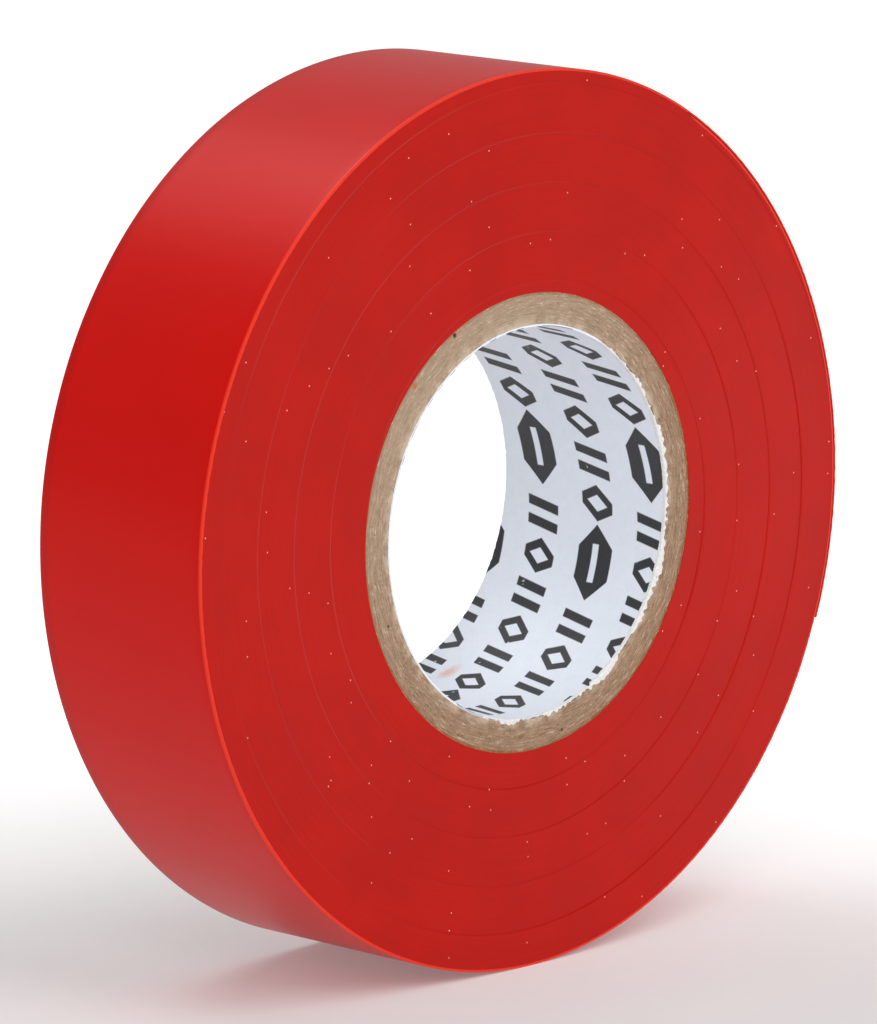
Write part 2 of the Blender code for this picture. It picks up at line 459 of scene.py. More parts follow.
def make_ply(node, number, settings, material):
    """One ply of the core: a thin tube whose cut ends are rough with fibres, met by its neighbours."""
    columns, rows = 900, 5
    inner, outer = node_reach(node)
    inner, outer = inner - 0.5 * GLUE_LINE, outer + 0.5 * GLUE_LINE
    if outer > KRAFT_OUTER:
        outer = WINDING_INNER - 0.5 * GLUE_LINE
    angle = np.linspace(0.0, 2.0 * np.pi, columns, endpoint=False)[:, None]
    radius = np.linspace(inner, outer, rows)[None, :] + 0.0 * angle
    ends = []
    for seed in (100 + number, 200 + number):
        slow = ripple(seed, angle, radius, (1, 16), 1000.0, 10)
        fine = ripple(seed + 50, angle, radius, (60, 420), 9000.0, 60)
        ends.append(settings.end_relief * np.clip(0.55 + 0.25 * slow + 0.4 * fine, 0.0, 1.6))
    half = CORE_HALF + 0.3 * settings.end_relief
    y = np.concatenate([-half + ends[0], half - ends[1][:, ::-1]], axis=1)
    radius = np.concatenate([radius, radius[:, ::-1]], axis=1)
    return ring(node + "_cut", radius, angle, y, [material], sharp=70.0)


def torn(angle):
    """How torn the liner's front edge is, 0 to 1: it is torn from 62 degrees back to -112."""
    degrees = np.degrees(np.mod(angle + np.pi, 2.0 * np.pi) - np.pi)
    return smooth((62.0 - degrees) / 12.0) * smooth((degrees + 112.0) / 12.0)


def make_liner(settings, material):
    """The printed liner: a thin tube whose columns lean with its seam, so that the lapped edge is clean.

    The bore's radius falls by the lap's height just past the seam and recovers over a few millimetres.
    """
    across = 28
    lean = math.tan(settings.lap_lean) / BORE
    width = np.linspace(-1.0, 1.0, across)[None, :]
    past = np.concatenate([[0.0, 0.04, 0.2], np.linspace(0.5, 2.0 * np.pi * BORE / MM - 0.04, 500)]) * MM
    past = past[:, None]
    seam_end = 2.0 * np.pi * BORE - 0.04 * MM
    level = settings.lap_angle + past / BORE
    rag = ripple(41, level, 0.0, (20, 260), 0.0, 40)
    front = -CORE_HALF + torn(level - lean * CORE_HALF) * MM * np.clip(0.16 + 0.16 * rag, -0.02, 0.6)
    back = CORE_HALF - 0.05 * MM * np.clip(0.5 + 0.5 * ripple(42, level, 0.0, (20, 200), 0.0, 40), 0.0, 2.0)
    y = front + (back - front) * (width + 1.0) / 2.0
    angle = level + lean * y
    crumple = ripple(43, angle, y, (3, 40), 700.0, 30) * (0.3 + 0.7 * torn(angle) * smooth((-y / CORE_HALF)))
    lap = settings.lap_step * (1.0 - smooth(past / (4.0 * MM))) * smooth(past / (0.04 * MM))
    lap = lap * smooth((seam_end - past) / (0.2 * MM) + 1.0)
    inside = BORE - lap - 0.02 * MM * np.clip(crumple, -1.5, 1.5) * smooth(past / MM)
    outside = LINER_OUTER + 0.5 * GLUE_LINE + 0.0 * y
    ys = np.concatenate([y, y[:, ::-1]], axis=1)
    radius = np.concatenate([inside, outside[:, ::-1]], axis=1)
    angles = np.concatenate([angle, angle[:, ::-1]], axis=1)
    arc = np.concatenate([past + 0.0 * y, past + 0.0 * y], axis=1) + (settings.lap_angle + lean * ys) * BORE
    return ring("printed_liner", radius, angles, ys, [material], sheet=np.stack([arc, ys], axis=-1))


def make_fray(settings, material):
    """The torn lip of the liner: a thin ribbon that curls from the bore out over the core's end.

    Across the ribbon, s goes from 0 in the bore to 1 at the torn rim: the radius grows with s by a
    ragged reach, and y comes forward to the core's end and stays there.
    """
    angle = np.radians(np.linspace(-112.0, 62.0, 900))[:, None]
    s = np.linspace(0.0, 1.0, 9)[None, :]
    rag = 0.4 + 0.22 * ripple(51, angle, 0.0, (20, 200), 0.0, 50)
    rag = rag + 0.5 * ripple(52, angle, 0.0, (3, 30), 0.0, 12)
    reach = settings.fray * np.clip(rag, 0.05, 1.6) * torn(angle)
    lumps = ripple(53, angle, 0.0 * s + s * 0.001, (60, 500), 5000.0, 50)
    bend = smooth((s - 0.25) / 0.5)
    radius = BORE - 0.03 * MM + (reach + 0.03 * MM) * bend * s
    front = CORE_HALF + 0.045 * MM
    y = -(front - 0.35 * MM * (1.0 - smooth(s / 0.45)) - 0.03 * MM * np.clip(0.5 + 0.5 * lumps, 0.0, 1.5))
    thick = 0.03 * MM
    inner_radius = radius + thick * (1.0 - bend)
    inner_y = y + thick * bend
    radii = np.concatenate([radius, inner_radius[:, ::-1]], axis=1)
    ys = np.concatenate([y, inner_y[:, ::-1]], axis=1)
    faces = swept_faces(len(radii), radii.shape[1], ring=False)
    return new_piece("torn_liner_lip", place(radii, angle, ys), faces, [material], sharp=70.0)


# ---- Materials ----

# The size of one cell of each pattern.
FILM_MOTTLE, FILM_GRAIN = 11.11 * MM, 0.3846 * MM
ADHESIVE_DRAG = 2.0 * MM
KNIFE_LINE, LINE_STRETCH = 0.1818 * MM, 0.4 * MM
FACE_MOTTLE, FACE_SHADE_PATCH, SPECK_SPACING = 6.25 * MM, 14.29 * MM, 2.326 * MM
BOARD_FIBRE, BOARD_PATCH = 0.1111 * MM, 1.111 * MM
TORN_FLUFF = 0.25 * MM
FLOOR_CLOUD = 0.3333
# The same on the flat paper, in millimetres.
PAPER_BLOTCH, PRINT_GRAIN, PAPER_CREASE = 1.111, 0.1111, 1.818

# Widths of the coloured bands along the film's edges, measured from the front and the back edge: the front
# edge's lighter line, partly the thin film's own colour and partly a painted highlight, and a band of
# painted shade along the back edge.
RIM_LINE = (0.12 * MM, 0.35 * MM)
REAR_SHADE_BAND = (0.5 * MM, 1.3 * MM)
# The knife's dark line, painted shade in the step that the knife leaves: the share of a pitch where it is
# full and where it has ended, and its depth of tone.
GROOVE_FULL, GROOVE_END, GROOVE_SHADE_TONE = 0.02, 0.05, 0.45
# Dust: its size as a share of the cells' spacing, and the share of the cells that hold none.
SPECK_SIZE, CLEAN_SHARE, SPECK_PINK = (0.015, 0.035), 0.84, "#FFC4B0"
# The side towards which the board's end is painted paler, as painted light from the upper left, and how far
# the torn liner's fluff reaches over it.
LIT_SIDE, FLUFF_REACH = (-0.55, 0.0, 0.83), 0.9 * MM
# Stains on the core's cut end: degrees round it, share of the way out through its wall, radius, colour.
BOARD_SPOTS = (
    (118.0, 0.9, 0.28 * MM, "#3A2014"),
    (136.0, 0.85, 0.3 * MM, "#C0703C"),
    (201.0, 0.45, 0.16 * MM, "#4A3020"),
    (282.0, 0.7, 0.18 * MM, "#5A3C28"),
)

# The liner's print, in millimetres on the flat paper: rows of marks, each begun by an emblem.
ROW_SLOPE, ROW_SPACING, ROW_SHIFT, FIRST_ROW = 0.14, 6.4, 9.3, 5.1
PRINT_REPEAT, FIRST_EMBLEM = 29.0, 2.7
EMBLEM_LENGTH, EMBLEM_HEIGHT, SLOT_HALF_HEIGHT = 6.7, 3.9, 0.35
MARK_PITCH, MARK_HEIGHT, MARK_LEAN, MARK_GAP = 3.6, 3.5, -0.2, 0.7
HALF_STROKE, BAR_PLACE, DIAMOND_PLACE, DIAMOND_STEEPNESS = 0.42, 0.8, 1.13, 0.62
INK_EDGE = 0.05
LAP_HALF_WIDTH, LAP_TONE = 1.7, 0.65
SMEAR_PLACE, SMEAR_SHAPE = (-20.4, 5.4, 0.0), (1.0, 1.7, 1.0)

# The paper's print, lap, smear and folds as sums on the flat paper's x and y. A row is the result's name,
# what is done, and the inputs: numbers, or names of earlier results. WITHIN is 1 where the value's size
# is under the limit, and fades to 0 over the ink's soft edge. The print's emblem is a plain long hexagon
# with a slot, and its marks are, in turn, two leaning bars and a hollow diamond.
PAPER_STEPS = (
    ("rise", "MULTIPLY", "x", ROW_SLOPE),
    ("down", "SUBTRACT", "y", "rise"),
    ("from_first", "SUBTRACT", "down", FIRST_ROW),
    ("row", "DIVIDE", "from_first", ROW_SPACING),
    ("number", "ROUND", "row"),
    ("off_row", "SUBTRACT", "row", "number"),
    ("up", "MULTIPLY", "off_row", ROW_SPACING),
    ("second_row", "PINGPONG", "number", 1.0),
    ("shift", "MULTIPLY", "second_row", ROW_SHIFT),
    ("start", "SUBTRACT", FIRST_EMBLEM, "shift"),
    ("from_start", "SUBTRACT", "start", "x"),
    ("from_edge", "ADD", "from_start", EMBLEM_LENGTH / 2.0),
    ("along", "FLOORED_MODULO", "from_edge", PRINT_REPEAT),
    ("from_emblem", "SUBTRACT", "along", EMBLEM_LENGTH / 2.0),
    ("length_off", "ABSOLUTE", "from_emblem"),
    ("height_off", "ABSOLUTE", "up"),
    ("pointed", "ADD", "length_off", "height_off"),
    ("diamond_part", "WITHIN", "pointed", EMBLEM_LENGTH / 2.0),
    ("emblem_band", "WITHIN", "up", EMBLEM_HEIGHT / 2.0),
    ("hexagon", "MULTIPLY", "diamond_part", "emblem_band"),
    ("slot_band", "WITHIN", "up", SLOT_HALF_HEIGHT),
    ("slot_run", "WITHIN", "from_emblem", EMBLEM_LENGTH / 4.0),
    ("slot", "MULTIPLY", "slot_band", "slot_run"),
    ("emblem", "SUBTRACT", "hexagon", "slot"),
    ("past_emblem", "SUBTRACT", "along", EMBLEM_LENGTH + MARK_GAP),
    ("mark", "DIVIDE", "past_emblem", MARK_PITCH),
    ("which", "FLOOR", "mark"),
    ("share", "FRACT", "mark"),
    ("from_middle", "SUBTRACT", "share", 0.5),
    ("upright", "MULTIPLY", "from_middle", MARK_PITCH),
    ("lean", "MULTIPLY", "up", MARK_LEAN),
    ("across", "SUBTRACT", "upright", "lean"),
    ("width_off", "ABSOLUTE", "across"),
    ("from_bar", "SUBTRACT", "width_off", BAR_PLACE),
    ("bars", "WITHIN", "from_bar", HALF_STROKE),
    ("narrowing", "MULTIPLY", "height_off", DIAMOND_STEEPNESS),
    ("widest", "ADD", "width_off", "narrowing"),
    ("from_line", "SUBTRACT", "widest", DIAMOND_PLACE),
    ("diamond", "WITHIN", "from_line", HALF_STROKE),
    ("odd", "PINGPONG", "which", 1.0),
    ("even", "SUBTRACT", 1.0, "odd"),
    ("even_marks", "MULTIPLY", "bars", "even"),
    ("odd_marks", "MULTIPLY", "diamond", "odd"),
    ("all_marks", "ADD", "even_marks", "odd_marks"),
    ("mark_band", "WITHIN", "up", MARK_HEIGHT / 2.0),
    ("row_marks", "MULTIPLY", "all_marks", "mark_band"),
    ("after_emblem", "GREATER_THAN", "which", -0.5),
    ("marks", "MULTIPLY", "row_marks", "after_emblem"),
    ("pattern", "MAXIMUM", "emblem", "marks"),
    ("inner_side", "LESS_THAN", "radius", BORE + 0.04 * MM),
    ("on_paper", "MULTIPLY", "pattern", "inner_side"),
    ("wear_and_shade", "MULTIPLY", "worn_and_shaded", "full"),
    ("printed", "MULTIPLY", "on_paper", "wear_and_shade"),
    ("seam_rise", "MULTIPLY", "y", "seam_slope"),
    ("seam_x", "SUBTRACT", "x", "seam_rise"),
    ("from_lap", "SUBTRACT", "seam_x", "band_middle"),
    ("lap", "WITHIN", "from_lap", LAP_HALF_WIDTH),
    ("band", "MULTIPLY", "lap", LAP_TONE),
    ("ragged", "MULTIPLY", "blotches", 1.6),
    ("smear", "ADD", "from_smear", "ragged"),
    ("off_fold", "SUBTRACT", "creases", 0.5),
    ("fold_size", "ABSOLUTE", "off_fold"),
    ("blotch_height", "MULTIPLY", "blotches", 0.5),
)


def per(size):
    """A pattern's scale from the size of one of its cells."""
    return 1.0 / size


def opaque(rgb, brightness=1.0):
    """A colour as the four values of a colour socket."""
    return (*(part * brightness for part in rgb), 1.0)


def add(tree, kind, inputs, **settings):
    """Adds a node, gives it its settings, and fills each input with a value or links it to an output."""
    node = tree.nodes.new("ShaderNode" + kind)
    for name, value in settings.items():
        setattr(node, name, value)
    for key, value in inputs.items():
        if isinstance(value, bpy.types.NodeSocket):
            tree.links.new(value, node.inputs[key])
        else:
            node.inputs[key].default_value = value
    return node


def new_material(name, **constants):
    """A material, its node tree and its Principled shader. Keywords set the shader's sockets."""
    material = bpy.data.materials.new(name)
    material.use_nodes = True
    tree = material.node_tree
    shader = tree.nodes["Principled BSDF"]
    for key, value in constants.items():
        shader.inputs[key.replace("_", " ")].default_value = value
    return material, tree, shader


def pvc_film(settings):
    """Calendered, plasticised PVC: a smooth, satin skin with a slow mottle, a bright slit edge that is
    partly its own lighter colour and partly a painted highlight, and painted shade along the back edge.
    """
    material, tree, shader = new_material(
        "red_pvc_film", Metallic=0.0, Roughness=0.34, IOR=1.53, Specular_Tint=(1.0, 0.08, 0.06, 1.0)
    )
    spot = add(tree, "TexCoord", {}).outputs["Object"]
    y = add(tree, "SeparateXYZ", {0: spot}).outputs["Y"]
    mottle = add(tree, "TexNoise", {"Vector": spot, "Scale": per(FILM_MOTTLE), "Detail": 3.0}).outputs["Fac"]
    grain = add(tree, "TexNoise", {"Vector": spot, "Scale": per(FILM_GRAIN), "Detail": 2.0}).outputs["Fac"]
    red = settings.film_red
    tone = {0: mottle, 6: opaque(red), 7: opaque(red, 1.12)}
    tone = add(tree, "Mix", tone, data_type="RGBA").outputs[2]
    for none, full, most, over in (
        # Painted shade: the film darkens towards its back edge.
        (HALF_WIDTH - REAR_SHADE_BAND[1], HALF_WIDTH - REAR_SHADE_BAND[0], 0.5, opaque(red, 0.72)),
        # The front edge's lighter line: partly the thin film's own colour, partly a painted highlight.
        (RIM_LINE[1] - HALF_WIDTH, RIM_LINE[0] - HALF_WIDTH, 1.0, opaque(settings.edge_red_and_highlight)),
    ):
        span = {"Value": y, "From Min": none, "From Max": full, "To Max": most}
        share = add(tree, "MapRange", span, interpolation_type="SMOOTHSTEP").outputs[0]
        tone = add(tree, "Mix", {0: share, 6: tone, 7: over}, data_type="RGBA").outputs[2]
    tree.links.new(tone, shader.inputs["Base Color"])
    bump = add(tree, "Bump", {"Height": grain, "Strength": 0.05, "Distance": 0.01 * MM})
    tree.links.new(bump.outputs[0], shader.inputs["Normal"])
    return material


def rubber_adhesive(settings):
    """Rubber adhesive on the film's inner side: wet-looking, a little darker, with fine drag lines."""
    material, tree, shader = new_material("rubber_adhesive", Metallic=0.0, Roughness=0.22, IOR=1.52)
    spot = add(tree, "TexCoord", {}).outputs["Object"]
    drag = add(tree, "TexNoise", {"Vector": spot, "Scale": per(ADHESIVE_DRAG), "Detail": 4.0}).outputs["Fac"]
    tone = {0: drag, 6: opaque(settings.adhesive_red), 7: opaque(settings.adhesive_red, 1.3)}
    tone = add(tree, "Mix", tone, data_type="RGBA").outputs[2]
    tree.links.new(tone, shader.inputs["Base Color"])
    bump = add(tree, "Bump", {"Height": drag, "Strength": 0.3, "Distance": 0.02 * MM})
    tree.links.new(bump.outputs[0], shader.inputs["Normal"])
    return material


def slit_pvc(settings):
    """A hundred film edges cut by one knife: satin, brushed round the roll, with its spiral, painted shade
    in the knife's step, and dust.
    """
    material, tree, shader = new_material(
        "slit_pvc_edges",
        Metallic=0.0,
        Roughness=0.3,
        IOR=1.53,
        Anisotropic=0.85,
        Anisotropic_Rotation=0.25,
        Specular_Tint=(1.0, 0.2, 0.16, 1.0),
    )
    spot = add(tree, "TexCoord", {}).outputs["Object"]
    parts = add(tree, "SeparateXYZ", {0: spot}).outputs
    flat = add(tree, "CombineXYZ", {0: parts["X"], 1: parts["Z"]}).outputs[0]
    radius = add(tree, "VectorMath", {0: flat}, operation="LENGTH").outputs["Value"]
    angle = add(tree, "Math", {0: parts["Z"], 1: parts["X"]}, operation="ARCTAN2").outputs[0]
    arc = add(tree, "Math", {0: angle, 1: LINE_STRETCH}, operation="MULTIPLY").outputs[0]
    lines_at = add(tree, "CombineXYZ", {0: radius, 1: arc}).outputs[0]
    lines = {"Vector": lines_at, "Scale": per(KNIFE_LINE), "Detail": 3.0}
    lines = add(tree, "TexNoise", lines).outputs["Fac"]
    mottle = add(tree, "TexNoise", {"Vector": spot, "Scale": per(FACE_MOTTLE), "Detail": 4.0}).outputs["Fac"]
    # Patches of this noise set how strong the painted shade in the knife's step is from place to place.
    wear_and_shade = add(tree, "TexNoise", {"Vector": spot, "Scale": per(FACE_SHADE_PATCH), "Detail": 2.0}).outputs["Fac"]
    fed = add(tree, "Math", {0: settings.knife_start, 1: radius}, operation="SUBTRACT").outputs[0]
    pitches = add(tree, "Math", {0: fed, 1: settings.knife_pitch}, operation="DIVIDE").outputs[0]
    laps = add(tree, "Math", {0: angle, 1: 2.0 * math.pi}, operation="DIVIDE").outputs[0]
    turns = add(tree, "Math", {0: pitches, 1: laps}, operation="SUBTRACT").outputs[0]
    mark = add(tree, "Math", {0: turns}, operation="FRACT").outputs[0]
    worn_and_shaded = {"Value": wear_and_shade, "From Min": 0.35, "From Max": 0.6, "To Max": GROOVE_SHADE_TONE}
    worn_and_shaded = add(tree, "MapRange", worn_and_shaded).outputs[0]
    dust = {"Vector": flat, "Scale": per(SPECK_SPACING)}
    cells = add(tree, "TexVoronoi", dust, voronoi_dimensions="2D").outputs
    chance = add(tree, "SeparateColor", {0: cells["Color"]}).outputs[0]
    dusty = add(tree, "Math", {0: chance, 1: CLEAN_SHARE}, operation="GREATER_THAN").outputs[0]
    red = settings.face_red
    tone = {0: lines, 6: opaque(red, 0.86), 7: opaque(red, 1.12)}
    tone = add(tree, "Mix", tone, data_type="RGBA").outputs[2]
    for value, none, full, most, over in (
        # Painted shade in the step that the knife leaves at each mark.
        (mark, GROOVE_END, GROOVE_FULL, worn_and_shaded, opaque(red, 0.55)),
        (mottle, 0.65, 0.35, 0.5, opaque(red, 0.8)),
        (cells["Distance"], SPECK_SIZE[1], SPECK_SIZE[0], dusty, opaque(red_green_blue(SPECK_PINK))),
    ):
        span = {"Value": value, "From Min": none, "From Max": full, "To Max": most}
        share = add(tree, "MapRange", span).outputs[0]
        tone = add(tree, "Mix", {0: share, 6: tone, 7: over}, data_type="RGBA").outputs[2]
    tree.links.new(tone, shader.inputs["Base Color"])
    bump = add(tree, "Bump", {"Height": lines, "Strength": 0.25, "Distance": 0.01 * MM})
    tree.links.new(bump.outputs[0], shader.inputs["Normal"])
    around = add(tree, "Tangent", {}, direction_type="RADIAL", axis="Y").outputs[0]
    tree.links.new(around, shader.inputs["Tangent"])
    return material


def cut_board(name, settings, base):
    """Recycled board cut across: matt, brown, with pale and dark fibres lying round the core, and painted
    light that makes it paler towards the upper left.
    """
    material, tree, shader = new_material(name, Metallic=0.0, Roughness=0.88, IOR=1.45)
    spot = add(tree, "TexCoord", {}).outputs["Object"]
    parts = add(tree, "SeparateXYZ", {0: spot}).outputs
    flat = add(tree, "CombineXYZ", {0: parts["X"], 1: parts["Z"]}).outputs[0]
    radius = add(tree, "VectorMath", {0: flat}, operation="LENGTH").outputs["Value"]
    angle = add(tree, "Math", {0: parts["Z"], 1: parts["X"]}, operation="ARCTAN2").outputs[0]
    arc = add(tree, "Math", {0: angle, 1: 0.1 * LINER_OUTER}, operation="MULTIPLY").outputs[0]
    along = add(tree, "CombineXYZ", {0: radius, 1: arc, 2: parts["Y"]}).outputs[0]
    fibre = {"Vector": along, "Scale": per(BOARD_FIBRE), "Detail": 4.0, "Roughness": 0.7}
    fibre = add(tree, "TexNoise", fibre).outputs["Fac"]
    patch = add(tree, "TexNoise", {"Vector": spot, "Scale": per(BOARD_PATCH), "Detail": 3.0}).outputs["Fac"]
    toward_lit_side = add(tree, "VectorMath", {0: spot, 1: LIT_SIDE}, operation="DOT_PRODUCT").outputs["Value"]
    fluff = {"Value": radius, "From Min": LINER_OUTER + FLUFF_REACH, "From Max": LINER_OUTER, "To Max": 0.6}
    fluff = add(tree, "MapRange", fluff).outputs[0]
    light = opaque(settings.board_light)
    layers = [
        (fibre, 0.5, 0.3, 1.0, opaque(settings.board_dark)),
        (fibre, 0.56, 0.72, 1.0, light),
        # Painted light: the board's end grows paler towards the upper left, the side the light comes from.
        (toward_lit_side, -0.2 * LINER_OUTER, LINER_OUTER, 0.2, light),
        (patch, 0.4, 0.6, fluff, light),
    ]
    for degrees, share, size, code in BOARD_SPOTS:
        turned = math.radians(degrees)
        from_axis = LINER_OUTER + share * (KRAFT_OUTER - LINER_OUTER)
        centre = (from_axis * math.cos(turned), from_axis * math.sin(turned), 0.0)
        reach = add(tree, "VectorMath", {0: flat, 1: centre}, operation="DISTANCE").outputs["Value"]
        layers.append((reach, size, 0.4 * size, 1.0, opaque(red_green_blue(code))))
    tone = {0: patch, 6: opaque(base, 0.85), 7: opaque(base, 1.12)}
    tone = add(tree, "Mix", tone, data_type="RGBA").outputs[2]
    for value, none, full, most, over in layers:
        span = {"Value": value, "From Min": none, "From Max": full, "To Max": most}
        share = add(tree, "MapRange", span).outputs[0]
        tone = add(tree, "Mix", {0: share, 6: tone, 7: over}, data_type="RGBA").outputs[2]
    tree.links.new(tone, shader.inputs["Base Color"])
    bump = add(tree, "Bump", {"Height": fibre, "Strength": 0.6, "Distance": 0.05 * MM})
    tree.links.new(bump.outputs[0], shader.inputs["Normal"])
    return material


def coated_paper(settings):
    """Clay-coated liner paper: bluish white and satin, creased, with a plain print of bars and diamonds."""
    material, tree, shader = new_material("coated_liner_paper", Metallic=0.0, IOR=1.5)
    flat = add(tree, "UVMap", {}, uv_map="flat_paper").outputs[0]
    parts = add(tree, "SeparateXYZ", {0: flat}).outputs
    spot = add(tree, "TexCoord", {}).outputs["Object"]
    from_axis = add(tree, "VectorMath", {0: spot, 1: (1.0, 0.0, 1.0)}, operation="MULTIPLY").outputs[0]
    from_smear = add(tree, "VectorMath", {0: flat, 1: SMEAR_PLACE}, operation="SUBTRACT").outputs[0]
    from_smear = add(tree, "VectorMath", {0: from_smear, 1: SMEAR_SHAPE}, operation="MULTIPLY").outputs[0]
    clouds = {"Vector": flat, "Scale": per(PAPER_BLOTCH), "Detail": 5.0, "Roughness": 0.65}
    blotches = add(tree, "TexNoise", clouds).outputs["Fac"]
    fine = add(tree, "TexNoise", {"Vector": flat, "Scale": per(PRINT_GRAIN), "Detail": 2.0}).outputs["Fac"]
    folds = {"Vector": flat, "Scale": per(PAPER_CREASE), "Detail": 3.0, "Distortion": 0.8}
    last_arc = (settings.lap_angle + 2.0 * math.pi) * BORE / MM
    made = {
        "x": parts["X"],
        "y": parts["Y"],
        "radius": add(tree, "VectorMath", {0: from_axis}, operation="LENGTH").outputs["Value"],
        "blotches": blotches,
        "creases": add(tree, "TexNoise", folds).outputs["Fac"],
        "worn_and_shaded": add(tree, "MapRange", {"Value": blotches, "From Min": 0.72, "From Max": 0.68}).outputs[0],
        "full": add(tree, "MapRange", {"Value": fine, "To Min": 0.94, "To Max": 1.0}).outputs[0],
        "from_smear": add(tree, "VectorMath", {0: from_smear}, operation="LENGTH").outputs["Value"],
        "seam_slope": math.tan(settings.lap_lean),
        "band_middle": last_arc - LAP_HALF_WIDTH,
    }
    for name, operation, *values in PAPER_STEPS:
        values = [made.get(value, value) for value in values]
        if operation == "WITHIN":
            size = add(tree, "Math", {0: values[0]}, operation="ABSOLUTE").outputs[0]
            span = {"Value": size, "From Min": values[1] + INK_EDGE, "From Max": values[1] - INK_EDGE}
            made[name] = add(tree, "MapRange", span).outputs[0]
        else:
            made[name] = add(tree, "Math", dict(enumerate(values)), operation=operation).outputs[0]

    smear = {"Value": made["smear"], "From Min": 2.3, "From Max": 1.2, "To Max": 0.8}
    smear = add(tree, "MapRange", smear).outputs[0]
    white = settings.paper_white
    tone = {0: blotches, 6: opaque(white), 7: opaque(white, 0.9)}
    tone = add(tree, "Mix", tone, data_type="RGBA").outputs[2]
    for share, over in (
        (made["band"], settings.lap_grey),
        (smear, settings.smear_salmon),
        (made["printed"], settings.ink_black),
    ):
        tone = add(tree, "Mix", {0: share, 6: tone, 7: opaque(over)}, data_type="RGBA").outputs[2]
    tree.links.new(tone, shader.inputs["Base Color"])
    gloss = add(tree, "MapRange", {"Value": blotches, "To Min": 0.38, "To Max": 0.6}).outputs[0]
    tree.links.new(gloss, shader.inputs["Roughness"])
    fold = {"Value": made["fold_size"], "From Max": 0.03, "To Max": 0.6}
    fold = add(tree, "MapRange", fold).outputs[0]
    height = add(tree, "Math", {0: fold, 1: made["blotch_height"]}, operation="ADD").outputs[0]
    bump = add(tree, "Bump", {"Height": height, "Strength": 0.45, "Distance": 0.05 * MM})
    tree.links.new(bump.outputs[0], shader.inputs["Normal"])
    return material


def paper_fluff(settings):
    """Torn paper: white, matt and fluffy where the coating has broken up."""
    material, tree, shader = new_material("torn_paper", Metallic=0.0, Roughness=0.9, IOR=1.4)
    spot = add(tree, "TexCoord", {}).outputs["Object"]
    fluff = add(tree, "TexNoise", {"Vector": spot, "Scale": per(TORN_FLUFF), "Detail": 4.0}).outputs["Fac"]
    tone = {0: fluff, 6: opaque(settings.torn_grey), 7: opaque(settings.torn_white)}
    tone = add(tree, "Mix", tone, data_type="RGBA").outputs[2]
    tree.links.new(tone, shader.inputs["Base Color"])
    return material


def floor_paper(settings):
    """Matt white studio paper, with the faintest unevenness, lit through from below behind the roll."""
    material, tree, shader = new_material(
        "studio_paper", Metallic=0.0, Roughness=0.95, IOR=1.3, Emission_Color=opaque((1.0, 1.0, 1.0))
    )
    spot = add(tree, "TexCoord", {}).outputs["Object"]
    cloud = add(tree, "TexNoise", {"Vector": spot, "Scale": per(FLOOR_CLOUD)}).outputs["Fac"]
    tone = {0: cloud, 6: opaque(settings.floor_white, 0.985), 7: opaque(settings.floor_white)}
    tone = add(tree, "Mix", tone, data_type="RGBA").outputs[2]
    tree.links.new(tone, shader.inputs["Base Color"])
    behind = -camera_side(settings.azimuth, 0.0)
    away = add(tree, "VectorMath", {0: spot, 1: behind}, operation="DOT_PRODUCT").outputs["Value"]
    span = {
        "Value": away,
        "From Min": settings.glow_start,
        "From Max": settings.glow_full,
        "To Min": settings.glow_near,
        "To Max": settings.floor_glow,
    }
    glow = add(tree, "MapRange", span, interpolation_type="SMOOTHSTEP").outputs[0]
    tree.links.new(glow, shader.inputs["Emission Strength"])
    return material


# ---- Operators ----


class TAPEROLL_OT_wound_turns(Operator):
    """Add the bonded turns of tape, with their two slit faces"""

    bl_idname = "taperoll.wound_turns"
    bl_label = "Wound Turns"
    bl_options = {"REGISTER", "UNDO"}

    def execute(self, context):
        settings = context.scene.tape_roll_tape
        turns = make_wound_tape(settings, slit_pvc(settings))
        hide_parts("wound_tape")
        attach(turns, "roll")
        return {"FINISHED"}


class TAPEROLL_OT_outer_turn(Operator):
    """Add the outermost turn of tape, from under the free end round to the free end's root"""

    bl_idname = "taperoll.outer_turn"
    bl_label = "Outer Turn"
    bl_options = {"REGISTER", "UNDO"}

    def execute(self, context):
        settings = context.scene.tape_roll_tape
        end = 360.0 - PEEL_ARC
        film = film_strip("outer_turn_film", -PEEL_ARC, end, 1080, settings, [pvc_film(settings)], taper=2.0)
        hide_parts("outer_turn")
        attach(film, "roll")
        return {"FINISHED"}


class TAPEROLL_OT_free_end(Operator):
    """Add the free end of the tape, in lengths that each lie over one hinge"""

    bl_idname = "taperoll.free_end"
    bl_label = "Free End"
    bl_options = {"REGISTER", "UNDO"}

    def execute(self, context):
        settings = context.scene.tape_roll_tape
        film = bpy.data.materials.get("red_pvc_film") or pvc_film(settings)
        materials = [film, rubber_adhesive(settings)]
        root = 360.0 - PEEL_ARC
        middles = [root + SEGMENT * (number + 0.5) for number in range(len(TAILS))]
        starts = [root] + middles[:-1]
        for number, (start, end) in enumerate(zip(starts, middles), 1):
            piece = film_strip(f"free_end_film_{number}", start, end, 24, settings, materials)
            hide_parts(f"tail_{number}")
            ends = [Vector(place(outer_radius(wound), round_angle(wound), 0.0)) for wound in (start, end)]
            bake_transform(piece)
        tip = film_strip("free_end_tip", middles[-1], 360.0, 24, settings, materials)
        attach(tip, f"free_end_{len(TAILS)}")
        return {"FINISHED"}


